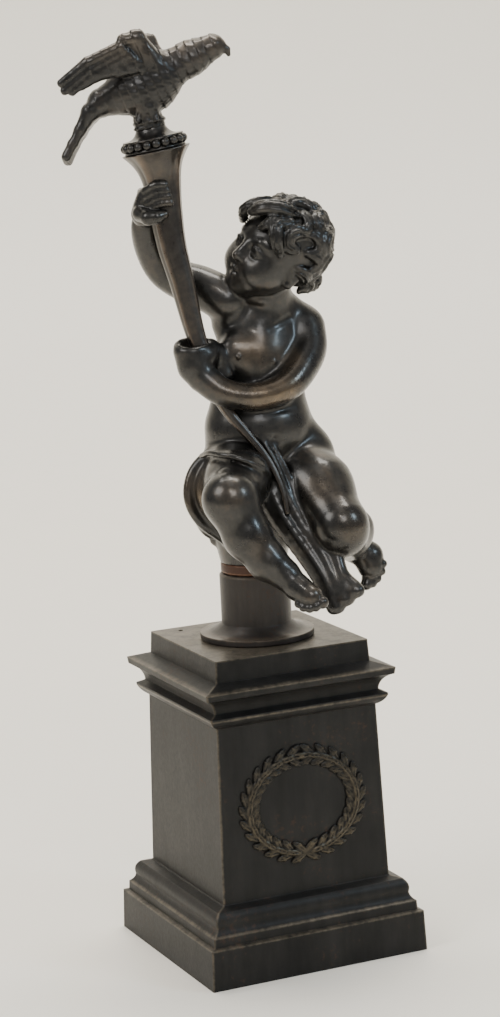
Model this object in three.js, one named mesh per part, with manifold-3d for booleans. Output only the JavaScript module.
// A seated bronze infant (a putto) who holds a long horn topped by a bird, on a round socle and a
// square moulded pedestal. Millimetres, +Z up. The origin is the centre of the pedestal's underside,
// and the face of the pedestal that carries the wreath looks to -Y, as the figure does.
import * as THREE from "three";
import { mergeVertices } from "three/addons/utils/BufferGeometryUtils.js";
import Module from "manifold-3d";

const wasm = await Module();
wasm.setup();

// Room left between two pieces that touch.
const CLEARANCE = 0.3;

// Pedestal, from the floor up. Widths are measured across the flats.
const PLINTH_WIDTH = 76;
const PLINTH_TOP_WIDTH = 75.1;
const PLINTH_HEIGHT = 13.1;
const BASE_MOULDING_HEIGHT = 11.6;
const BASE_MOULDING_STEP = 1.5;
const DIE_FOOT_WIDTH = 58.9;
const DIE_TOP_WIDTH = 56;
const DIE_HEIGHT = 56.8;
const NECKING_PROJECTION = 3.1;
const NECKING_HEIGHT = 5.1;
const CORNICE_WIDTH = 66.3;
const CORNICE_HEIGHT = 9.2;
const CORNICE_EDGE = 2.1;
const SLAB_WIDTH = 54;
const SLAB_TOP_WIDTH = 53.3;
const SLAB_HEIGHT = 7;
const PIN_HOLE_RADIUS = 0.8;
const PIN_HOLE_DEPTH = 5;
const PIN_HOLE_X = -18;
const PIN_HOLE_Y = 21.5;

// Laurel wreath on the front of the die.
const WREATH_WIDTH = 45;
const WREATH_HEIGHT = 39;
const WREATH_BAND = 7.4;
const WREATH_RELIEF = 2;
const WREATH_LIFT = 28.5;
const WREATH_SPRIGS = 13;

// Round socle and the ring on it.
const FOOT_RADIUS = 18.5;
const FOOT_EDGE = 1.8;
const FOOT_FLARE = 2.9;
const SHAFT_RADIUS = 11.4;
const SHAFT_HEIGHT = 16.4;
const SHAFT_CHAMFER = 0.6;
const COLLAR_RADIUS = 10.8;
const COLLAR_HEIGHT = 3.2;

// Figure: height of the crown above the seat. All of the pose is in shares of it.
const FIGURE_HEIGHT = 115;
const SEAT_RADIUS = 10.8;

// Horn: radii at the mouth, and the socket that takes the finial's spigot.
const HORN_MOUTH_RADIUS = 10.8;
const HORN_THROAT_RADIUS = 6.4;
const HORN_TIP_RADIUS = 0.7;
const HORN_RIBS = 4;
const HORN_RIB_HEIGHT = 0.5;
const SOCKET_RADIUS = 4.2;
const SOCKET_DEPTH = 8;
const SPIGOT_SHORTFALL = 1;

// Finial: the cap and its beads. The bird's form is in shares of its length, beak to wing tip.
const CAP_RADIUS = 9.2;
const CAP_HEIGHT = 8.4;
const CAP_SHIFT = 0.2;
const CAP_NECK_RADIUS = 4.4;
const BEADS = 20;
const BEAD_RADIUS = 1.45;
const BIRD_LENGTH = 56;

const UP = new THREE.Vector3(0, 0, 1);
const vector = (a) => new THREE.Vector3(a[0], a[1], a[2]);

// Free forms are fields: functions of x, y, z, negative inside and close to a true distance near the skin.
const ball = (c, r) => (x, y, z) => {
  const u = x - c[0];
  const v = y - c[1];
  const w = z - c[2];
  return Math.sqrt(u * u + v * v + w * w) - r;
};

// A limb tapers from radius ra at point a to radius rb at point b and has round ends.
function limb(a, ra, b, rb) {
  const [dx, dy, dz] = [b[0] - a[0], b[1] - a[1], b[2] - a[2]];
  const length2 = dx * dx + dy * dy + dz * dz || 1e-9;
  return (x, y, z) => {
    const px = x - a[0];
    const py = y - a[1];
    const pz = z - a[2];
    const t = Math.min(1, Math.max(0, (px * dx + py * dy + pz * dz) / length2));
    const qx = px - t * dx;
    const qy = py - t * dy;
    const qz = pz - t * dz;
    return Math.sqrt(qx * qx + qy * qy + qz * qz) - ra - t * (rb - ra);
  };
}

// A chain of limbs through points given as [x, y, z, radius].
function chain(points, soft = 0.8) {
  const limbs = points.slice(1).map((q, i) => limb(points[i], points[i][3], q, q[3]));
  return limbs.length > 1 ? blend(soft, ...limbs) : limbs[0];
}

// An egg with three radii along the axes of a frame, or along X, Y and Z.
function egg(c, radii, axes = [[1, 0, 0], [0, 1, 0], [0, 0, 1]]) {
  const [a, b, d] = axes;
  const [ra, rb, rd] = radii;
  const least = Math.min(ra, rb, rd);
  return (x, y, z) => {
    const px = x - c[0];
    const py = y - c[1];
    const pz = z - c[2];
    const u = (px * a[0] + py * a[1] + pz * a[2]) / ra;
    const v = (px * b[0] + py * b[1] + pz * b[2]) / rb;
    const w = (px * d[0] + py * d[1] + pz * d[2]) / rd;
    const k0 = Math.sqrt(u * u + v * v + w * w);
    const k1 = Math.sqrt((u * u) / (ra * ra) + (v * v) / (rb * rb) + (w * w) / (rd * rd));
    return k1 < 1e-9 ? -least : (k0 * (k0 - 1)) / k1;
  };
}

function soften(a, b, k) {
  const h = Math.max(k - Math.abs(a - b), 0) / k;
  return Math.min(a, b) - (h * h * k) / 4;
}

// Forms melted into each other over the length k.
const blend = (k, ...forms) => (x, y, z) => {
  let d = forms[0](x, y, z);
  for (let i = 1; i < forms.length; i++) d = soften(d, forms[i](x, y, z), k);
  return d;
};

// A form with others pressed out of it, with edges softened over k.
const press = (k, form, ...tools) => (x, y, z) => {
  let d = form(x, y, z);
  for (const tool of tools) d = -soften(-d, tool(x, y, z), k);
  return d;
};

// How far a point lies beyond a plane through a spot, along a direction.
function beyond(spot, direction) {
  const d = vector(direction).normalize();
  return (x, y, z) => (x - spot[0]) * d.x + (y - spot[1]) * d.y + (z - spot[2]) * d.z;
}

// Corners of the six tetrahedra that fill a cube, as bits x, y, z, all turned the same way.
const TETRAHEDRA = [
  [0, 1, 3, 7],
  [0, 2, 6, 7],
  [0, 4, 5, 7],
  [0, 3, 2, 7],
  [0, 6, 4, 7],
  [0, 5, 1, 7],
];
const ONE_INSIDE = { 1: [0, 1, 2, 3], 2: [1, 0, 3, 2], 4: [2, 0, 1, 3], 8: [3, 0, 2, 1] };
const TWO_INSIDE = {
  3: [0, 1, 2, 3],
  5: [0, 2, 3, 1],
  9: [0, 3, 1, 2],
  6: [1, 2, 0, 3],
  10: [1, 3, 2, 0],
  12: [2, 3, 0, 1],
};

// The skin of a field inside a box, as points and triangles on a grid of the given cell.
function skinOf(field, low, high, cell) {
  const size = [0, 1, 2].map((i) => Math.ceil((high[i] - low[i]) / cell) + 1);
  const [nx, ny, nz] = size;
  const values = new Float32Array(nx * ny * nz).fill(1e3);
  const block = 6;
  const reach = block * cell * 1.9;
  for (let k = 0; k < nz; k += block)
    for (let j = 0; j < ny; j += block)
      for (let i = 0; i < nx; i += block) {
        const h = block / 2;
        const middle = field(low[0] + (i + h) * cell, low[1] + (j + h) * cell, low[2] + (k + h) * cell);
        const far = Math.abs(middle) > reach;
        for (let c = k; c < Math.min(nz, k + block); c++)
          for (let b = j; b < Math.min(ny, j + block); b++)
            for (let a = i; a < Math.min(nx, i + block); a++) {
              let d = middle;
              if (!far) d = field(low[0] + a * cell, low[1] + b * cell, low[2] + c * cell);
              if (Math.abs(d) < 0.03 * cell) d = d < 0 ? -0.03 * cell : 0.03 * cell;
              values[a + nx * (b + ny * c)] = d;
            }
      }
  const points = [];
  const faces = [];
  const known = new Map();
  const total = values.length;
  const place = (n) => [n % nx, Math.floor(n / nx) % ny, Math.floor(n / (nx * ny))];
  const cut = (m, n) => {
    const key = m < n ? m * total + n : n * total + m;
    let id = known.get(key);
    if (id === undefined) {
      const t = values[m] / (values[m] - values[n]);
      const p = place(m);
      const q = place(n);
      id = points.length / 3;
      for (let i = 0; i < 3; i++) points.push(low[i] + cell * (p[i] + t * (q[i] - p[i])));
      known.set(key, id);
    }
    return id;
  };
  const corner = new Array(8);
  for (let k = 0; k + 1 < nz; k++)
    for (let j = 0; j + 1 < ny; j++)
      for (let i = 0; i + 1 < nx; i++) {
        let inside = 0;
        for (let b = 0; b < 8; b++) {
          corner[b] = i + (b & 1) + nx * (j + ((b >> 1) & 1) + ny * (k + (b >> 2)));
          if (values[corner[b]] < 0) inside++;
        }
        if (inside === 0 || inside === 8) continue;
        for (const tetrahedron of TETRAHEDRA) {
          const v = tetrahedron.map((b) => corner[b]);
          let mask = 0;
          for (let b = 0; b < 4; b++) if (values[v[b]] < 0) mask |= 1 << b;
          if (mask === 0 || mask === 15) continue;
          if (TWO_INSIDE[mask]) {
            const [p, q, r, s] = TWO_INSIDE[mask].map((b) => v[b]);
            const quad = [cut(p, r), cut(p, s), cut(q, s), cut(q, r)];
            faces.push(quad[0], quad[1], quad[2], quad[0], quad[2], quad[3]);
          } else if (ONE_INSIDE[mask]) {
            const [p, q, r, s] = ONE_INSIDE[mask].map((b) => v[b]);
            faces.push(cut(p, q), cut(p, r), cut(p, s));
          } else {
            const [p, q, r, s] = ONE_INSIDE[15 - mask].map((b) => v[b]);
            faces.push(cut(p, r), cut(p, q), cut(p, s));
          }
        }
      }
  return { points: Float64Array.from(points), faces: Int32Array.from(faces) };
}

// Keeps the largest connected piece of a skin.
function largestPiece({ points, faces }) {
  const parent = Int32Array.from({ length: points.length / 3 }, (_, i) => i);
  const root = (i) => {
    while (parent[i] !== i) {
      parent[i] = parent[parent[i]];
      i = parent[i];
    }
    return i;
  };
  for (let f = 0; f < faces.length; f += 3) {
    parent[root(faces[f + 1])] = root(faces[f]);
    parent[root(faces[f + 2])] = root(faces[f]);
  }
  const tally = new Map();
  for (let f = 0; f < faces.length; f += 3) {
    const r = root(faces[f]);
    tally.set(r, (tally.get(r) ?? 0) + 1);
  }
  const best = [...tally].sort((a, b) => b[1] - a[1])[0][0];
  const kept = [];
  for (let f = 0; f < faces.length; f += 3)
    if (root(faces[f]) === best) kept.push(faces[f], faces[f + 1], faces[f + 2]);
  return { points, faces: Int32Array.from(kept) };
}

// Merges short and flat edges, cheapest first, until a skin has the wanted number of triangles.
// The cost of a merge is the squared distance of the merged point to the planes that met there.
function simplify({ points, faces }, target) {
  const count = points.length / 3;
  const p = Float64Array.from(points);
  const around = Array.from({ length: count }, () => new Set());
  const quadric = new Float64Array(count * 10);
  const alive = new Uint8Array(faces.length / 3).fill(1);
  const version = new Int32Array(count);
  const normal = (a, b, c) => {
    const ux = p[3 * b] - p[3 * a];
    const uy = p[3 * b + 1] - p[3 * a + 1];
    const uz = p[3 * b + 2] - p[3 * a + 2];
    const vx = p[3 * c] - p[3 * a];
    const vy = p[3 * c + 1] - p[3 * a + 1];
    const vz = p[3 * c + 2] - p[3 * a + 2];
    return [uy * vz - uz * vy, uz * vx - ux * vz, ux * vy - uy * vx];
  };
  for (let f = 0; f < alive.length; f++) {
    const tri = [faces[3 * f], faces[3 * f + 1], faces[3 * f + 2]];
    const n = normal(...tri);
    const size = Math.hypot(...n) || 1e-12;
    const [a, b, c] = n.map((v) => v / size);
    const d = -(a * p[3 * tri[0]] + b * p[3 * tri[0] + 1] + c * p[3 * tri[0] + 2]);
    const terms = [a * a, a * b, a * c, a * d, b * b, b * c, b * d, c * c, c * d, d * d];
    for (const v of tri) {
      around[v].add(f);
      for (let i = 0; i < 10; i++) quadric[10 * v + i] += terms[i] * size;
    }
  }
  const heap = [];
  const push = (item) => {
    let i = heap.push(item) - 1;
    while (i > 0) {
      const up = (i - 1) >> 1;
      if (heap[up].cost <= item.cost) break;
      heap[i] = heap[up];
      i = up;
    }
    heap[i] = item;
  };
  const pop = () => {
    const top = heap[0];
    const last = heap.pop();
    if (heap.length) {
      let i = 0;
      for (;;) {
        let child = 2 * i + 1;
        if (child >= heap.length) break;
        if (child + 1 < heap.length && heap[child + 1].cost < heap[child].cost) child++;
        if (heap[child].cost >= last.cost) break;
        heap[i] = heap[child];
        i = child;
      }
      heap[i] = last;
    }
    return top;
  };
  const costAt = (q, x, y, z) =>
    q[0] * x * x + 2 * q[1] * x * y + 2 * q[2] * x * z + 2 * q[3] * x + q[4] * y * y +
    2 * q[5] * y * z + 2 * q[6] * y + q[7] * z * z + 2 * q[8] * z + q[9];
  const propose = (a, b) => {
    const q = new Array(10);
    for (let i = 0; i < 10; i++) q[i] = quadric[10 * a + i] + quadric[10 * b + i];
    const length = Math.hypot(p[3 * a] - p[3 * b], p[3 * a + 1] - p[3 * b + 1], p[3 * a + 2] - p[3 * b + 2]);
    const middle = [0, 1, 2].map((i) => (p[3 * a + i] + p[3 * b + i]) / 2);
    let spot = middle;
    const m = q[0] * (q[4] * q[7] - q[5] * q[5]) - q[1] * (q[1] * q[7] - q[5] * q[2]) +
      q[2] * (q[1] * q[5] - q[4] * q[2]);
    const bulk = (q[0] + q[4] + q[7]) / 3;
    if (Math.abs(m) > 1e-4 * bulk * bulk * bulk) {
      const x = -(q[3] * (q[4] * q[7] - q[5] * q[5]) - q[1] * (q[6] * q[7] - q[5] * q[8]) +
        q[2] * (q[6] * q[5] - q[4] * q[8])) / m;
      const y = -(q[0] * (q[6] * q[7] - q[5] * q[8]) - q[3] * (q[1] * q[7] - q[5] * q[2]) +
        q[2] * (q[1] * q[8] - q[6] * q[2])) / m;
      const z = -(q[0] * (q[4] * q[8] - q[6] * q[5]) - q[1] * (q[1] * q[8] - q[6] * q[2]) +
        q[3] * (q[1] * q[5] - q[4] * q[2])) / m;
      if (Math.hypot(x - middle[0], y - middle[1], z - middle[2]) < length) spot = [x, y, z];
    }
    const cost = costAt(q, ...spot) + 2e-4 * length * length * bulk;
    push({ cost, a, b, spot, va: version[a], vb: version[b] });
  };
  const neighbours = (v) => {
    const found = new Set();
    for (const f of around[v]) for (let i = 0; i < 3; i++) found.add(faces[3 * f + i]);
    found.delete(v);
    return found;
  };
  for (let v = 0; v < count; v++) for (const w of neighbours(v)) if (v < w) propose(v, w);
  const turns = (v, other, spot) => {
    for (const f of around[v]) {
      const tri = [faces[3 * f], faces[3 * f + 1], faces[3 * f + 2]];
      if (tri.includes(other)) continue;
      const before = normal(...tri);
      const held = [p[3 * v], p[3 * v + 1], p[3 * v + 2]];
      for (let i = 0; i < 3; i++) p[3 * v + i] = spot[i];
      const after = normal(...tri);
      for (let i = 0; i < 3; i++) p[3 * v + i] = held[i];
      const dot = before[0] * after[0] + before[1] * after[1] + before[2] * after[2];
      const size = Math.hypot(...after);
      if (size < 1e-3 || dot < 0.35 * Math.hypot(...before) * size) return true;
    }
    return false;
  };
  let left = alive.length;
  while (left > target && heap.length) {
    const { a, b, spot, va, vb } = pop();
    if (version[a] !== va || version[b] !== vb) continue;
    const na = neighbours(a);
    const nb = neighbours(b);
    if (!na.has(b)) continue;
    let shared = 0;
    for (const v of na) if (nb.has(v)) shared++;
    if (shared !== 2 || turns(a, b, spot) || turns(b, a, spot)) continue;
    for (const f of [...around[b]]) {
      const tri = [faces[3 * f], faces[3 * f + 1], faces[3 * f + 2]];
      if (tri.includes(a)) {
        alive[f] = 0;
        left--;
        for (const v of tri) around[v].delete(f);
      } else {
        for (let i = 0; i < 3; i++) if (faces[3 * f + i] === b) faces[3 * f + i] = a;
        around[a].add(f);
      }
    }
    around[b].clear();
    for (let i = 0; i < 3; i++) p[3 * a + i] = spot[i];
    for (let i = 0; i < 10; i++) quadric[10 * a + i] += quadric[10 * b + i];
    version[a]++;
    version[b] = -1;
    for (const v of neighbours(a)) propose(a, v);
  }
  const index = [];
  for (let f = 0; f < alive.length; f++)
    if (alive[f]) index.push(faces[3 * f], faces[3 * f + 1], faces[3 * f + 2]);
  return { points: p, faces: index };
}

// A carved form: the skin of a field, drawn with a limited number of triangles.
function carve(field, low, high, cell, triangles) {
  const { points, faces } = simplify(largestPiece(skinOf(field, low, high, cell)), triangles);
  const kept = [];
  const ids = new Map();
  const index = Array.from(faces, (v) => {
    if (!ids.has(v)) {
      ids.set(v, kept.length / 3);
      kept.push(points[3 * v], points[3 * v + 1], points[3 * v + 2]);
    }
    return ids.get(v);
  });
  const geometry = new THREE.BufferGeometry();
  geometry.setAttribute("position", new THREE.Float32BufferAttribute(kept, 3));
  geometry.setIndex(index);
  return geometry;
}

// A stock shape whose faces share their corners, so that it is closed before it is moved or turned.
function weld(geometry) {
  geometry.deleteAttribute("normal");
  geometry.deleteAttribute("uv");
  return mergeVertices(geometry, 1e-4);
}

// Closed three.js geometry as a solid, and back.
function solidOf(geometry) {
  const vertProperties = Float32Array.from(geometry.attributes.position.array);
  const triVerts = Uint32Array.from(geometry.index.array);
  return new wasm.Manifold(new wasm.Mesh({ numProp: 3, vertProperties, triVerts }));
}

function geometryOf(solid) {
  const whole = solid.decompose().sort((a, b) => b.volume() - a.volume())[0];
  const mesh = whole.getMesh();
  const geometry = new THREE.BufferGeometry();
  geometry.setAttribute("position", new THREE.BufferAttribute(new Float32Array(mesh.vertProperties), 3));
  geometry.setIndex(new THREE.BufferAttribute(new Uint32Array(mesh.triVerts), 1));
  geometry.computeVertexNormals();
  return geometry;
}

function bronze(name, geometry, color, roughness, metalness = 0.85) {
  const material = new THREE.MeshStandardMaterial({ color, roughness, metalness, flatShading: true });
  const mesh = new THREE.Mesh(geometry, material);
  mesh.name = name;
  return mesh;
}

// A turned form about +Z from [radius, height] pairs that start and end on the axis.
function turned(profile, sides) {
  const geometry = new THREE.LatheGeometry(profile.map(([r, z]) => new THREE.Vector2(r, z)), sides);
  return weld(geometry).rotateX(Math.PI / 2);
}

// Pedestal: a square section that follows one moulding profile all round.
const mouldingFoot = PLINTH_HEIGHT;
const dieFoot = mouldingFoot + BASE_MOULDING_HEIGHT;
const dieTop = dieFoot + DIE_HEIGHT;
const corniceFoot = dieTop + NECKING_HEIGHT;
const corniceTop = corniceFoot + CORNICE_HEIGHT;
const slabTop = corniceTop + SLAB_HEIGHT;

const arc = (from, to, steps, bulge) => {
  const [dx, dz] = [to[0] - from[0], to[1] - from[1]];
  return Array.from({ length: steps - 1 }, (_, i) => {
    const t = (i + 1) / steps;
    const out = 4 * bulge * t * (1 - t);
    return [from[0] + dx * t + dz * out, from[1] + dz * t - dx * out];
  });
};

function pedestalProfile() {
  const plinth = PLINTH_WIDTH / 2;
  const plinthTop = PLINTH_TOP_WIDTH / 2;
  const ledge = plinthTop - BASE_MOULDING_STEP;
  const die = DIE_FOOT_WIDTH / 2;
  const dieUpper = DIE_TOP_WIDTH / 2;
  const cornice = CORNICE_WIDTH / 2;
  const slab = SLAB_WIDTH / 2;
  const rise = (share) => mouldingFoot + BASE_MOULDING_HEIGHT * share;
  const reach = (share) => die + (ledge - die) * share;
  const bandFoot = [reach(0.98), rise(0.28)];
  const beadFoot = [reach(0.7), rise(0.52)];
  const beadTop = [reach(0.5), rise(0.9)];
  const neck = [dieUpper + NECKING_PROJECTION, dieTop + NECKING_HEIGHT * 0.62];
  const neckTop = [dieUpper + NECKING_PROJECTION, dieTop + NECKING_HEIGHT * 0.76];
  const hollow = [dieUpper + 0.8, corniceFoot];
  const edgeFoot = [cornice - 0.3, corniceTop - 1.9 - CORNICE_EDGE];
  return [
    [0, 0],
    [plinth, 0],
    [plinthTop, mouldingFoot],
    [ledge, mouldingFoot + 0.4],
    bandFoot,
    ...arc(bandFoot, beadFoot, 4, -0.12),
    beadFoot,
    ...arc(beadFoot, beadTop, 5, 0.16),
    beadTop,
    [reach(0.06), rise(0.97)],
    [die, dieFoot],
    [dieUpper, dieTop],
    ...arc([dieUpper, dieTop], neck, 3, 0.1),
    neck,
    neckTop,
    [hollow[0] + 0.5, hollow[1] - 0.4],
    hollow,
    ...arc(hollow, edgeFoot, 5, -0.16),
    edgeFoot,
    [cornice, corniceTop - 1.9],
    [slab, corniceTop],
    [SLAB_TOP_WIDTH / 2, slabTop],
    [0, slabTop],
  ];
}

const diagonal = pedestalProfile().map(([half, z]) => [half * Math.SQRT2, z]);
const pedestalBlock = solidOf(turned(diagonal, 4).rotateZ(Math.PI / 4));
const pinHole = weld(new THREE.CylinderGeometry(PIN_HOLE_RADIUS, PIN_HOLE_RADIUS, 2 * PIN_HOLE_DEPTH, 12));
pinHole.rotateX(Math.PI / 2).translate(PIN_HOLE_X, PIN_HOLE_Y, slabTop);
const pedestal = bronze("pedestal", geometryOf(pedestalBlock.subtract(solidOf(pinHole))), 0x2b2a28, 0.5);

// Wreath: two sprays of laurel that start at the bottom and meet at the top, in three rows of
// leaves on a thin flat band. X runs along the die's face, Y out of it, and the back is flat at y = 0.
function wreathField() {
  const ringX = (WREATH_WIDTH - WREATH_BAND) / 2;
  const ringZ = (WREATH_HEIGHT - WREATH_BAND) / 2;
  const around = (angle, out) => [
    (ringX + out) * Math.sin(angle),
    0,
    -(ringZ + out) * Math.cos(angle),
  ];
  const leaves = [];
  for (const side of [-1, 1])
    for (let i = 0; i < WREATH_SPRIGS; i++)
      for (const row of [-1, 0, 1]) {
        const angle = (side * Math.PI * (i + 0.5 + (row ? 0 : 0.5))) / WREATH_SPRIGS;
        const c = around(angle, row * WREATH_BAND * 0.24);
        const ahead = around(angle + side * 0.05, row * WREATH_BAND * 0.24);
        const along = vector(ahead).sub(vector(c)).normalize();
        const out = new THREE.Vector3().crossVectors(along, new THREE.Vector3(0, 1, 0)).normalize();
        const lean = row * side * 0.55;
        const length = along.clone().multiplyScalar(Math.cos(lean)).addScaledVector(out, -Math.sin(lean));
        const width = new THREE.Vector3().crossVectors(length, new THREE.Vector3(0, 1, 0));
        const frame = [length.toArray(), width.toArray(), [0, 1, 0]];
        const rise = WREATH_RELIEF * (row ? 0.35 : 0.5);
        c[1] = rise * 0.6;
        leaves.push(egg(c, [WREATH_BAND * 0.4, WREATH_BAND * 0.17, rise], frame));
      }
  const bands = Array.from({ length: 48 }, (_, i) => {
    const a = around((i * Math.PI) / 24, 0);
    const b = around(((i + 1) * Math.PI) / 24, 0);
    return limb(a, WREATH_BAND * 0.38, b, WREATH_BAND * 0.38);
  });
  const band = blend(0.3, ...bands);
  const flat = 4;
  return blend(0.3, (x, y, z) => band(x, flat * y, z) / flat, ...leaves);
}

function makeWreath() {
  const margin = 2;
  const [x, z] = [WREATH_WIDTH / 2 + margin, WREATH_HEIGHT / 2 + margin];
  const relief = carve(wreathField(), [-x, -2.4, -z], [x, WREATH_RELIEF + 1, z], 0.62, 760);
  const wall = weld(new THREE.BoxGeometry(4 * x, 10, 4 * z)).translate(0, -5, 0);
  return geometryOf(solidOf(relief).subtract(solidOf(wall)));
}

const wreath = bronze("laurel_wreath", makeWreath(), 0x4a4231, 0.5);
wreath.rotation.z = Math.PI;
const dieLean = Math.atan((DIE_FOOT_WIDTH - DIE_TOP_WIDTH) / 2 / DIE_HEIGHT);
const wreathSeat = new THREE.Group();
wreathSeat.add(wreath);
const dieHalfAt = DIE_FOOT_WIDTH / 2 - Math.tan(dieLean) * WREATH_LIFT;
wreathSeat.position.set(0, -dieHalfAt - CLEARANCE, dieFoot + WREATH_LIFT);
wreathSeat.rotation.x = -dieLean;

// Socle and ring.
const footZ = slabTop + CLEARANCE;
const shaftFoot = [SHAFT_RADIUS, footZ + FOOT_EDGE + FOOT_FLARE];
const footLip = [FOOT_RADIUS, footZ + FOOT_EDGE];
const drumTop = shaftFoot[1] + SHAFT_HEIGHT;
const drumProfile = [
  [0, footZ],
  [FOOT_RADIUS - 0.3, footZ],
  [FOOT_RADIUS, footZ + 0.4],
  footLip,
  ...arc(footLip, shaftFoot, 5, -0.12),
  shaftFoot,
  [SHAFT_RADIUS, drumTop - SHAFT_CHAMFER],
  [SHAFT_RADIUS - SHAFT_CHAMFER, drumTop],
  [0, drumTop],
];
const drum = bronze("drum", geometryOf(solidOf(turned(drumProfile, 24))), 0x2f2c2a, 0.45);

const collarZ = drumTop + CLEARANCE;
const collarTop = collarZ + COLLAR_HEIGHT;
const collarProfile = [
  [0, collarZ],
  [COLLAR_RADIUS - 0.3, collarZ],
  [COLLAR_RADIUS, collarZ + 0.3],
  [COLLAR_RADIUS, collarTop - 0.3],
  [COLLAR_RADIUS - 0.3, collarTop],
  [0, collarTop],
];
const collar = bronze("seat_collar", geometryOf(solidOf(turned(collarProfile, 24))), 0x6d4637, 0.5);

// The figure's own units: its crown is 115 above the seat. X is its left, -Y its front.
const SHARE = FIGURE_HEIGHT / 115;
const seatZ = collarTop + CLEARANCE;

// Centreline of the horn, mouth first, in the figure's units, with the share of the way along.
const hornLine = new THREE.CatmullRomCurve3(
  [
    [-25.6, 1.6, 132.9],
    [-24.6, 0.9, 123.7],
    [-24.2, -0.3, 113.5],
    [-23.4, -1.6, 103.4],
    [-21.5, -3.6, 92.2],
    [-19.2, -6.6, 76],
    [-17.2, -8.6, 67.3],
    [-15.2, -10.4, 58.4],
    [-11.9, -12.8, 50.6],
    [-7.9, -15, 44.7],
    [-2.1, -18, 36],
    [0.4, -20.6, 29.3],
    [1.6, -22.6, 23],
    [2, -23.6, 18],
  ].map((p) => vector(p).multiplyScalar(SHARE)),
);
const HORN_STATIONS = 20;
const PHOTO_RIGHT = new THREE.Vector3(0.914, -0.406, 0);
const PHOTO_NEAR = new THREE.Vector3(-0.406, -0.914, 0);
const mouthAxis = UP.clone().addScaledVector(PHOTO_RIGHT, -0.16).normalize();

// The horn flares at its mouth and tapers evenly from its throat to its tip.
function hornRadius(t) {
  const taper = HORN_TIP_RADIUS + (HORN_THROAT_RADIUS - HORN_TIP_RADIUS) * Math.pow(1 - t, 1.35);
  const flare = (HORN_MOUTH_RADIUS - HORN_THROAT_RADIUS) * Math.exp(-Math.pow(t / 0.035, 1.2));
  return taper + flare;
}

function hornFrame(t) {
  const c = hornLine.getPointAt(t);
  const ease = Math.max(0, 1 - t / 0.08);
  const down = hornLine.getTangentAt(t).lerp(mouthAxis.clone().negate(), ease).normalize();
  const side = PHOTO_RIGHT.clone().addScaledVector(down, -PHOTO_RIGHT.dot(down)).normalize();
  const near = new THREE.Vector3().crossVectors(down, side).normalize();
  if (near.dot(PHOTO_NEAR) < 0) near.negate();
  return { c, down, side, near };
}

// A closed loft about the centreline. The angle starts at the photograph's right and turns to the near side.
function hornLoft(extra, from = 0, overshoot = 0) {
  const sides = 4 * HORN_RIBS;
  const rows = [];
  for (let i = 0; i <= HORN_STATIONS; i++) {
    const t = from + (1 - from) * Math.pow(i / HORN_STATIONS, 1.25);
    const { c, down, side, near } = hornFrame(t);
    const r = hornRadius(t) + extra;
    const rib = HORN_RIB_HEIGHT * Math.min(1, hornRadius(t) / HORN_THROAT_RADIUS);
    const centre = i === 0 ? c.clone().addScaledVector(down, -overshoot) : c;
    if (i === HORN_STATIONS) centre.addScaledVector(down, extra);
    rows.push(
      Array.from({ length: sides }, (_, s) => {
        const angle = ((s + 1.5) * 2 * Math.PI) / sides;
        const reach = r + (s % 4 === 0 ? rib : 0);
        return centre
          .clone()
          .addScaledVector(side, reach * Math.cos(angle))
          .addScaledVector(near, reach * Math.sin(angle));
      }),
    );
  }
  const points = rows.flat();
  const index = [];
  for (let i = 0; i < HORN_STATIONS; i++)
    for (let s = 0; s < sides; s++) {
      const n = (s + 1) % sides;
      const [a, b, c, d] = [i * sides + s, i * sides + n, (i + 1) * sides + n, (i + 1) * sides + s];
      index.push(a, b, c, a, c, d);
    }
  const top = points.push(hornFrame(from).c.clone().addScaledVector(hornFrame(from).down, -overshoot)) - 1;
  const tip = points.push(hornFrame(1).c.clone().addScaledVector(hornFrame(1).down, extra)) - 1;
  for (let s = 0; s < sides; s++) {
    const n = (s + 1) % sides;
    index.push(top, n, s);
    index.push(tip, HORN_STATIONS * sides + s, HORN_STATIONS * sides + n);
  }
  const geometry = new THREE.BufferGeometry().setFromPoints(points);
  geometry.setIndex(index);
  const solid = solidOf(geometry);
  if (solid.volume() > 0) return solid;
  for (let i = 0; i < index.length; i += 3) [index[i], index[i + 1]] = [index[i + 1], index[i]];
  geometry.setIndex(index);
  return solidOf(geometry);
}

// A cylinder about an axis that starts at a point and runs along a direction.
function bar(start, direction, radius, length, sides = 24) {
  const geometry = weld(new THREE.CylinderGeometry(radius, radius, length, sides));
  geometry.translate(0, length / 2, 0);
  geometry.applyQuaternion(new THREE.Quaternion().setFromUnitVectors(new THREE.Vector3(0, 1, 0), direction));
  return geometry.translate(start.x, start.y, start.z);
}

const mouth = hornFrame(0).c;
const socket = bar(mouth.clone().addScaledVector(mouthAxis, 2), mouthAxis.clone().negate(), SOCKET_RADIUS,
  SOCKET_DEPTH + 2);
const horn = bronze("horn", geometryOf(hornLoft(0).subtract(solidOf(socket))), 0x3a3230, 0.42);

// Head frame: forward is where the face looks, left is the figure's left.
const headCentre = [9.8, -7.3, 99.6];
const gaze = new THREE.Vector3(-0.956, -0.231, 0.178).normalize();
const crown = new THREE.Vector3(0.256, -0.368, 0.894).addScaledVector(gaze, 0.167).normalize();
crown.addScaledVector(gaze, -crown.dot(gaze)).normalize();
const leftward = new THREE.Vector3().crossVectors(crown, gaze);
const headAxes = [gaze.toArray(), leftward.toArray(), crown.toArray()];
const onHead = (f, l, h) =>
  vector(headCentre)
    .addScaledVector(gaze, f)
    .addScaledVector(leftward, l)
    .addScaledVector(crown, h)
    .toArray();
const headEgg = (f, l, h, radii) => egg(onHead(f, l, h), radii, headAxes);

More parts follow.
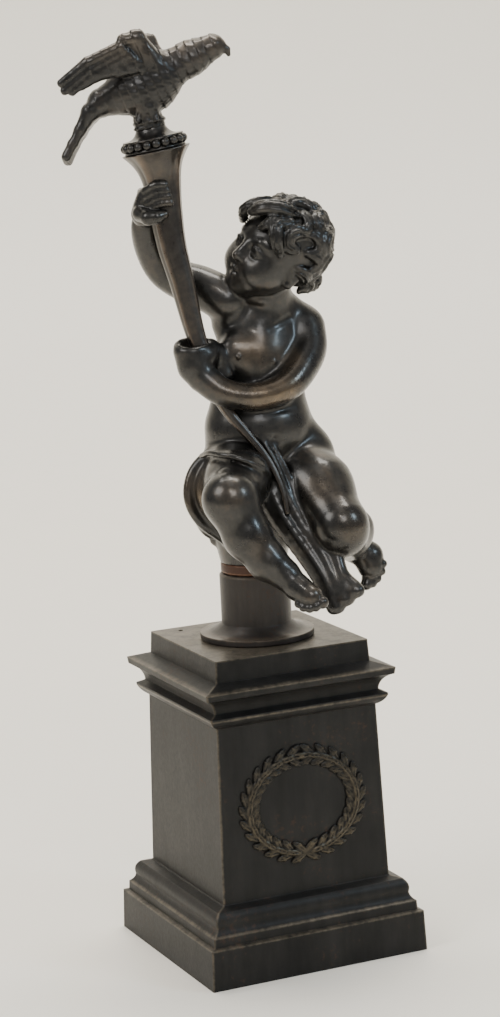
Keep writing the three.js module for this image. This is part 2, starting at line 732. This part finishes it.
// An infant's head on the usual proportions: eyes half way up, a full cheek, a short nose.
function headField() {
  const skull = blend(
    4,
    headEgg(-2, 0, 3.6, [13.6, 12.4, 12]),
    headEgg(2.6, 0, -4.2, [10.8, 10.6, 11.4]),
    headEgg(7.2, 5.4, -6.8, [5.4, 5.2, 5.6]),
    headEgg(7.2, -5.4, -6.8, [5.4, 5.2, 5.6]),
    headEgg(9.2, 0, -13, [4, 4.4, 3.6]),
  );
  const sockets = [-1, 1].map((s) => headEgg(14.8, 4.9 * s, 0.3, [3.2, 3.3, 2.1]));
  const face = press(1.6, skull, ...sockets);
  const details = [
    limb(onHead(12.6, 0, 2), 1.6, onHead(15, 0, -3.3), 2),
    ball(onHead(13.8, 1.6, -3.8), 1.3),
    ball(onHead(13.8, -1.6, -3.8), 1.3),
    limb(onHead(13.2, -2.4, -8.1), 0.9, onHead(13.2, 2.4, -8.1), 0.9),
    limb(onHead(12.8, -1.8, -10), 1.1, onHead(12.8, 1.8, -10), 1.1),
    ball(onHead(10.8, 4.8, 0.2), 2.5),
    ball(onHead(10.8, -4.8, 0.2), 2.5),
  ];
  return blend(1.2, face, ...details);
}

// Thick curls: short rolled locks in rings about the crown, and a tuft over the forehead.
function hairField() {
  const locks = [headEgg(-3.2, 0, 3.6, [13.6, 12.8, 12.4])];
  const rings = [
    { lift: 82, count: 3 },
    { lift: 52, count: 8 },
    { lift: 24, count: 12 },
    { lift: -4, count: 13 },
    { lift: -32, count: 12 },
    { lift: -56, count: 9 },
  ];
  rings.forEach(({ lift, count }, row) => {
    for (let i = 0; i < count; i++) {
      const turn = (2 * Math.PI * (i + (row % 2) / 2)) / count;
      const rise = (lift * Math.PI) / 180;
      const facing = Math.cos(turn) * Math.cos(rise);
      const open = lift > 10 ? 0.62 : lift > -50 ? 0.3 : -0.2;
      if (lift < 40 && Math.cos(turn) > open) continue;
      const size = 2.5 + 0.5 * Math.sin(3 * i + row);
      const at = (swing, drop, out) => {
        const a = turn + swing;
        const e = rise + drop;
        return onHead(
          -3 + (13 + out) * Math.cos(a) * Math.cos(e),
          (12.4 + out) * Math.sin(a) * Math.cos(e),
          3.4 + (12 + out) * Math.sin(e),
        );
      };
      const twist = i % 2 ? 1 : -1;
      locks.push(
        chain([
          [...at(-0.16 * twist, 0.2, 0.3), size * 0.7],
          [...at(0.06 * twist, 0.02, 1.1 + 0.3 * facing), size],
          [...at(0.12 * twist, -0.2, 0.7), size * 0.75],
        ]),
      );
    }
  });
  locks.push(
    chain([
      [...onHead(5, 3, 14.4), 2.8],
      [...onHead(9.6, 1, 14.4), 2.8],
      [...onHead(12, -2, 11.6), 2.1],
    ]),
    chain([
      [...onHead(8.4, -5, 12.8), 2.5],
      [...onHead(11, -7, 9), 2.3],
      [...onHead(9.6, -9.3, 4.6), 1.7],
    ]),
    chain([
      [...onHead(7.6, 6.6, 12), 2.5],
      [...onHead(9.4, 8.8, 8), 2.2],
      [...onHead(7.2, 10.8, 3), 1.7],
    ]),
    chain([
      [...onHead(-10.6, 8.4, -2), 2.2],
      [...onHead(-12.4, 8.6, -5.4), 2.2],
      [...onHead(-10.6, 9.4, -8.4), 1.6],
    ]),
    chain([
      [...onHead(-7.4, 10.2, -2.6), 2.1],
      [...onHead(-8.6, 10.6, -6), 2.1],
      [...onHead(-6.4, 10.4, -8.8), 1.5],
    ]),
  );
  return blend(0.9, ...locks);
}

// A spot beside the horn at a share of its length, at an angle in degrees that starts at the
// photograph's right and turns to the near side.
const besideHorn = (t, angle, out) => {
  const { c, side, near } = hornFrame(t);
  const a = (angle * Math.PI) / 180;
  const reach = hornRadius(t) + out;
  return c
    .clone()
    .addScaledVector(side, reach * Math.cos(a))
    .addScaledVector(near, reach * Math.sin(a))
    .divideScalar(SHARE)
    .toArray();
};

// A finger round the horn from one angle to another. It droops in the middle and climbs at its tip.
function finger(t, from, to, radius, droop = 0, climb = 0) {
  return chain(
    [0, 1, 2, 3, 4].map((i) => {
      const share = t + droop * Math.sin((i * Math.PI) / 2) - (climb * i) / 4;
      const spot = besideHorn(share, from + ((to - from) * i) / 4, radius * 0.6);
      return [...spot, radius * (1 - 0.04 * i)];
    }),
  );
}

function torsoField() {
  const trunk = blend(
    6,
    egg([3, 2, 29], [17.5, 15, 14]),
    egg([3.4, -1.5, 43], [17.8, 15.2, 15.5]),
    egg([4.6, 0, 60], [15.6, 12.4, 15]),
    limb([-3.1, 1.7, 77], 6.2, [18, 1, 70], 7.6),
    egg([6, -3.6, 70], [11, 7, 10]),
  );
  return blend(
    4,
    trunk,
    egg([2.9, -7.8, 65.6], [6.8, 4, 6.8]),
    egg([-5.3, -6.3, 68], [5.8, 4, 6]),
    ball([-6, 9, 24], 10.5),
    ball([12, 9, 24], 10.5),
    ball([17.9, -4.7, 36], 7.5),
    ball([18.6, -8.2, 32.1], 7.4),
    chain([[5.6, -1, 75, 7.8], [7.4, -4, 87, 7]]),
    chain([[9, -1, 84, 6.4], [18.4, 0, 75.6, 6.6]]),
  );
}

function armsField() {
  const right = [
    [-5.4, 0.2, 84.4, 6.6],
    [-8.4, 2.6, 86.8, 6.6],
    [-11.7, 5.8, 89.1, 6.3],
    [-16.8, 9.7, 91.5, 5.9],
    [-20.8, 12, 95.2, 5.6],
    [-24.4, 11.9, 102.1, 5.3],
    [-27.1, 9.3, 108.8, 4.5],
    [-27.3, 7.8, 113, 3.9],
  ];
  const left = [
    [20.2, -2.4, 73.4, 6.9],
    [19.2, -6.4, 67.7, 6.2],
    [14.6, -11.1, 62.5, 5.6],
    [8.1, -15.1, 57.8, 4.8],
    [0.6, -16.1, 55.5, 4.2],
    [-6.9, -15, 55.3, 4.1],
    [-13.8, -12.8, 57.4, 4.2],
    [-18.6, -9.6, 62, 4.6],
  ];
  return [chain(right, 2), chain(left, 2)];
}

function handsField() {
  const palm = [
    [-27.3, 7.8, 113, 3.9],
    [-29.6, 4.4, 113.4, 3.7],
    [-30, 2.2, 116.2, 3.2],
    [-30, 1, 118.8, 2.5],
    [-29.6, 0, 121, 1.7],
  ];
  const thumb = [
    [-32, 1, 113.8, 2.8],
    [-31.4, -3.4, 112.6, 2.3],
    [-29.4, -5.2, 112.7, 2],
    [-27, -5.4, 113.4, 1.6],
  ];
  const high = [chain(palm, 2), chain(thumb, 1)];
  for (let i = 0; i < 4; i++) high.push(finger(0.1 + 0.0163 * i, 176, 82 - 3 * i, 1.4, 0.004, 0.0115));
  const up = UP.clone().addScaledVector(PHOTO_NEAR, 0.27).normalize();
  const rim = [-20.7, -7.2, 73.2];
  const fist = blend(
    2,
    chain([[...rim, 5.1], [-21, -7.1, 70.4, 5.2], [-20.4, -7.9, 65.6, 5.1], [-18.8, -9.3, 62.2, 4.7]], 2),
    ball([-16.8, -8.2, 68.6], 4.2),
    limb([-14.6, -6.8, 70.6], 3.2, [-11.4, -5.8, 67.4], 3.6),
    limb([-11.4, -5.8, 67.4], 3.6, [-10.4, -7.4, 62], 3.2),
  );
  const bowl = ball(vector(rim).addScaledVector(up, 1.6).toArray(), 4.2);
  return [blend(1, ...high), press(1, fist, beyond(rim, up.clone().negate().toArray()), bowl)];
}

// A foot from its ankle to the ball, with five toes from the big one outwards, as [x, y, z, radius].
function foot(ankle, heel, instep, sole, toes) {
  const base = chain([ankle, instep, sole], 2);
  const back = limb(ankle, ankle[3], heel, heel[3]);
  const row = toes.map((toe) => limb(sole, sole[3] * 0.6, toe, toe[3]));
  return blend(0.7, blend(2, base, back), ...row);
}

function legsField() {
  const right = blend(
    5,
    chain([[-5, -3, 31, 11.5], [-12.2, -17, 28.8, 9.2], [-18.9, -27, 26.2, 7.6]], 5),
    ball([-20, -29, 26.6], 5.8),
    chain(
      [[-19.4, -28.4, 25, 7.4], [-15.7, -31.2, 14.3, 7], [-10.6, -34.6, 6, 5.7], [-6.4, -37.3, 1.9, 4.3]],
      3,
    ),
  );
  const left = blend(
    4,
    chain([[12.4, -3, 30.5, 12.2], [16.4, -16, 23.4, 10.6], [17.4, -28.4, 14, 8.8]], 5),
    ball([17.8, -30, 12.6], 7.2),
    ball([26.5, -20.5, 10.4], 6.2),
    chain([[19, -27, 9.6, 7], [25, -19, 6.4, 6.2], [29.6, -12.4, 2.6, 4.3]], 3),
  );
  const rightFoot = foot(
    [-6.4, -37.3, 1.9, 4.3],
    [-5.2, -35.4, -0.4, 3.2],
    [-3.7, -41, -2, 3.8],
    [-1.2, -44.4, -4.5, 3.8],
    [
      [1.4, -47.2, -6.2, 2],
      [-0.9, -47.2, -7.2, 1.6],
      [-2.7, -46.5, -7.6, 1.5],
      [-4.1, -45.2, -7.4, 1.4],
      [-5.1, -43.7, -6.4, 1.3],
    ],
  );
  const leftFoot = foot(
    [29.5, -12.3, 2.5, 4.3],
    [30.6, -9.6, 0, 3.4],
    [34.2, -14.1, -1.1, 4.5],
    [34.4, -15.3, -4.4, 4.2],
    [
      [31.9, -16.6, -9.8, 1.9],
      [33.9, -16.9, -9.5, 1.6],
      [35.6, -17.2, -8.1, 1.5],
      [37.2, -17.3, -6, 1.4],
      [38, -17.2, -3.6, 1.3],
    ],
  );
  return [right, left, rightFoot, leftFoot];
}

// Cloth he sits on: a mass over the seat, a sheet with a rolled edge over his right thigh, a hem at
// his right, folds at the back, and a pleated end that runs down from his lap between the shins.
function clothField() {
  const radius = SEAT_RADIUS / SHARE;
  const seat = (x, y, z) => {
    const out = Math.sqrt(x * x + y * y) - radius - 0.22 * Math.max(0, z);
    return Math.max(out, -z - 1.2, z - 18);
  };
  const mass = blend(5, egg([0, 2, 18], [16.5, 15.5, 9.5]), egg([-9, -3, 24], [12, 11, 13]));
  const lap = egg([2, -9, 25], [10, 8.4, 8]);
  const lining = egg([-13.6, -1.6, 22.4], [8.2, 3, 14]);
  const over = chain([[-5, -3, 31, 12.2], [-12.2, -17, 28.8, 9.9], [-18.9, -27, 26.2, 8.2]], 5);
  const roll = [
    [-19.6, -8, 37],
    [-20, -15.6, 39],
    [-18.6, -21.3, 38.9],
    [-16.3, -24.1, 38.4],
    [-13.7, -25.7, 37.3],
    [-10.6, -26.3, 35.8],
    [-6.6, -25, 33.2],
    [-2, -20, 29],
  ].map((p) => [...p, 0.9]);
  const below = beyond([-19.8, -16.6, 39.2], [-0.48, -0.15, -0.86]);
  const drape = blend(0.8, press(0.6, over, below), chain(roll));
  const hem = chain(
    [
      [-8, -4, 37, 1.3],
      [-12, -2.4, 37.2, 1.5],
      [-16.6, -1.2, 34.8, 1.5],
      [-20.2, -0.9, 31, 1.5],
      [-22.3, -1.4, 25.6, 1.5],
      [-22.3, -2.6, 20.6, 1.5],
      [-19.6, -3.6, 15.2, 1.5],
      [-14.4, -4.2, 10.6, 1.5],
      [-10, -4.4, 7, 1.5],
    ],
    1.2,
  );
  const fold = chain(
    [
      [-12, -4.4, 33.6, 0.8],
      [-17.6, -3.8, 28.6, 1],
      [-18.6, -4.6, 22, 1],
      [-15.6, -5.4, 15.4, 1],
      [-11.6, -5.6, 11, 0.8],
    ],
    1,
  );
  const back = [0, 1, 2, 3, 4, 5].map((i) => {
    const a = ((20 + 28 * i) * Math.PI) / 180;
    const [c, s] = [Math.cos(a), Math.sin(a)];
    return chain(
      [
        [3 + 15.5 * c, 3 + 14 * s, 30 + 3 * Math.sin(2 * i), 2],
        [2 + 16 * c, 2 + 15 * s, 20, 2.4],
        [12 * c, 12.5 * s, 7, 1.8],
      ],
      2,
    );
  });
  const tail = [0, 1, 2, 3, 4, 5].map((i) => {
    const s = i / 5;
    const wave = 0.7 * Math.cos(Math.PI * i);
    return chain(
      [
        [-3.7 + 11.6 * s, -14.8 - 5.1 * s, 28.3 - 6.4 * s * s, 2.2],
        [-0.6 + 12.8 * s, -19.4 - 5.7 * s + wave, 17.4 - 5.5 * s, 2.2],
        [5.8 + 8.7 * s, -26 - 4.2 * s + wave, 4.6 - 0.6 * s, 2],
        [8.4 + 6.6 * s, -30.2 - 3.3 * s + wave, -1.8 + 0.2 * s, 1.9],
        [10.6 + 7.2 * s, -35.8 - 3.2 * s, -11.6 + 7 * s + wave, 1.6],
      ],
      1.4,
    );
  });
  const pleats = [
    [
      [-2.2, -15.2, 41.8, 0.7],
      [0, -17.4, 36.3, 1],
      [1.9, -19.4, 30, 1.1],
      [3.4, -21.2, 22.6, 1.1],
      [6.6, -25.2, 12, 1],
    ],
    [
      [0.7, -14.8, 40.8, 0.7],
      [3.5, -17.7, 33.8, 1],
      [5.6, -19.6, 26.7, 1.1],
      [8, -23.2, 16, 1.1],
    ],
  ].map((points) => chain(points));
  return blend(1.6, seat, mass, lap, lining, drape, hem, fold, ...back, blend(1, ...tail), ...pleats);
}

function puttoField() {
  const body = blend(2.4, torsoField(), ...armsField());
  const seated = blend(1.6, body, ...legsField());
  const dressed = blend(0.9, seated, clothField());
  const headed = blend(1, dressed, blend(1.1, headField(), hairField()));
  return blend(0.9, headed, ...handsField());
}

const puttoSkin = carve(puttoField(), [-38, -52, -16], [44, 26, 128], 1.1, 2900);
puttoSkin.scale(SHARE, SHARE, SHARE);
const seatCut = bar(new THREE.Vector3(0, 0, -6), UP, SEAT_RADIUS + 2.5, 6, 40);
const putto = bronze(
  "putto",
  geometryOf(solidOf(puttoSkin).subtract(solidOf(seatCut)).subtract(hornLoft(CLEARANCE, 0, 1))),
  0x332c28,
  0.36,
);

// The finial's frame: right and near as seen in the photograph, from the horn's mouth.
const BIRD_SHARE = BIRD_LENGTH / 56;
const onBird = (r, n, h) =>
  new THREE.Vector3(0, 0, h).addScaledVector(PHOTO_RIGHT, r).addScaledVector(PHOTO_NEAR, n).toArray();
const birdLimb = (a, ra, b, rb) => limb(onBird(...a), ra, onBird(...b), rb);
const birdAxes = [PHOTO_RIGHT.toArray(), PHOTO_NEAR.toArray(), [0, 0, 1]];

// A raised wing on one side: the arm to the wrist, and long feathers that sweep back from it.
function wingField(side) {
  const [shift, drop, length, fall] = side > 0 ? [0.5, 0, 1, 1] : [3.6, -1.6, 0.66, 0.35];
  const spot = (r, n, h) => [r + shift, n * side, h + drop];
  const wrist = spot(-4.4, 7.2, 35);
  const arm = [
    birdLimb([1.5, 4 * side, 26.5], 3.4, wrist, 2.2),
    birdLimb(wrist, 2.1, spot(-8.6, 8.4, 34.4), 1.9),
    egg(onBird(...spot(-6.4, 5.4, 29)), [7, 2.6, 5], birdAxes),
  ];
  const feathers = [
    [[-9.4, 8.6, 32.6], [-19.8, 10, 28.2], [-28, 10.8, 22.4]],
    [[-8.6, 8.2, 31.2], [-19.4, 9.8, 26], [-27.2, 10.6, 20]],
    [[-7.4, 7.8, 29.8], [-18.4, 9.4, 24.6], [-25, 10.2, 19.6]],
    [[-6, 7.2, 28.6], [-16, 8.8, 24.6], [-21.8, 9.6, 21.2]],
    [[-4.4, 6.6, 27.4], [-13.4, 8.2, 24.8], [-18.6, 9, 23.2]],
    [[-3, 6, 26], [-10.6, 7.4, 24.8], [-14.4, 8.2, 25]],
  ].map(([root, ...outer]) => {
    const shorter = ([r, n, h]) => [root[0] + (r - root[0]) * length, n, root[2] + (h - root[2]) * fall];
    const [knee, tip] = outer.map(shorter);
    return chain([
      [...onBird(...spot(...root)), 1.8],
      [...onBird(...spot(...knee)), 1.75],
      [...onBird(...spot(...tip)), 1.35],
    ]);
  });
  return blend(1, ...arm, ...feathers);
}

function birdField() {
  const body = blend(
    4,
    egg(onBird(-2.5, 0, 20.2), [10, 7, 9], birdAxes),
    egg(onBird(1.8, 0, 22.2), [5, 5.8, 7.2], birdAxes),
    birdLimb([-8, 0, 18.2], 6.6, [-16, 0, 15.6], 4.6),
    birdLimb([4.4, 0, 24.2], 5.8, [12, 0, 27.8], 4.7),
    birdLimb([12, 0, 27.8], 4.7, [18.4, 0, 30.7], 4),
  );
  const head = ball(onBird(19.6, 0, 31.2), 3.4);
  const beak = chain([
    [...onBird(21.8, 0, 31), 1.6],
    [...onBird(23.5, 0, 30), 1.1],
    [...onBird(24, 0, 28.4), 0.7],
  ]);
  const tail = [-1, -0.34, 0.34, 1].map((s) =>
    chain([
      [...onBird(-15, 1.6 * s, 15.6), 3.4],
      [...onBird(-19.6, 2 * s, 12.6 + 0.3 * s), 2.8],
      [...onBird(-23, 2.4 * s, 7.2 + 0.5 * s), 1.8],
      [...onBird(-25.6, 2.8 * s, 2.8 + 0.6 * s), 1.5],
      [...onBird(-27.8, 3.4 * s, -1.2 + 0.8 * s), 1.6],
    ]),
  );
  const legs = [-1, 1].map((s) => birdLimb([-1.6, 2.6 * s, 14], 3.8, [-1.9, 1.4 * s, 10.4], 3.4));
  const knob = ball(onBird(-1.8, 0, 8.8), 4.8);
  return blend(1.2, body, head, beak, knob, ...legs, wingField(1), wingField(-1), blend(0.6, ...tail));
}

// The cap: a dished dome on a disc with a row of beads, drawn about the axis of the horn's mouth.
function makeFinial() {
  const tilt = new THREE.Quaternion().setFromUnitVectors(UP, mouthAxis);
  const seat = mouth.clone().addScaledVector(PHOTO_RIGHT, -CAP_SHIFT);
  const place = (geometry) => geometry.applyQuaternion(tilt).translate(seat.x, seat.y, seat.z);
  const low = CLEARANCE;
  const bead = low + BEAD_RADIUS + 0.5;
  const neckZ = bead + CAP_HEIGHT * 0.72;
  const dome = [[CAP_RADIUS + 0.4, bead + 1.9], [CAP_NECK_RADIUS, neckZ]];
  const profile = [
    [0, low],
    [CAP_RADIUS + 0.4, low],
    [CAP_RADIUS + 0.4, low + 0.7],
    [CAP_RADIUS - 0.4, low + 1],
    [CAP_RADIUS - 0.5, bead],
    [CAP_RADIUS - 0.2, bead + 1],
    [CAP_RADIUS + 0.4, bead + 1.4],
    dome[0],
    ...arc(dome[0], dome[1], 4, -0.22),
    dome[1],
    [CAP_NECK_RADIUS + 0.9, neckZ + 0.7],
    [CAP_NECK_RADIUS + 0.9, neckZ + 1.3],
    [CAP_NECK_RADIUS, neckZ + 2],
    [CAP_NECK_RADIUS - 0.2, neckZ + 5],
    [0, neckZ + 5],
  ];
  let cap = solidOf(place(turned(profile, BEADS)));
  for (let i = 0; i < BEADS; i++) {
    const a = (2 * Math.PI * i) / BEADS;
    const sphere = weld(new THREE.SphereGeometry(BEAD_RADIUS, 5, 3));
    sphere.translate(CAP_RADIUS * Math.cos(a), CAP_RADIUS * Math.sin(a), bead);
    cap = cap.add(solidOf(place(sphere)));
  }
  const spigot = bar(
    mouth.clone().addScaledVector(mouthAxis, low + 0.4),
    mouthAxis.clone().negate(),
    SOCKET_RADIUS - CLEARANCE,
    SOCKET_DEPTH - SPIGOT_SHORTFALL + low,
    20,
  );
  const skin = carve(birdField(), [-40, -26, -6], [34, 30, 44], 0.95, 1100);
  skin.scale(BIRD_SHARE, BIRD_SHARE, BIRD_SHARE).translate(mouth.x, mouth.y, mouth.z);
  return geometryOf(cap.add(solidOf(spigot)).add(solidOf(skin)));
}

const finial = bronze("bird_finial", makeFinial(), 0x302a27, 0.38);

const figure = new THREE.Group();
figure.position.z = seatZ;
figure.add(putto, horn, finial);

const sculpture = new THREE.Group();
sculpture.add(pedestal, wreathSeat, drum, collar, figure);
export default sculpture;
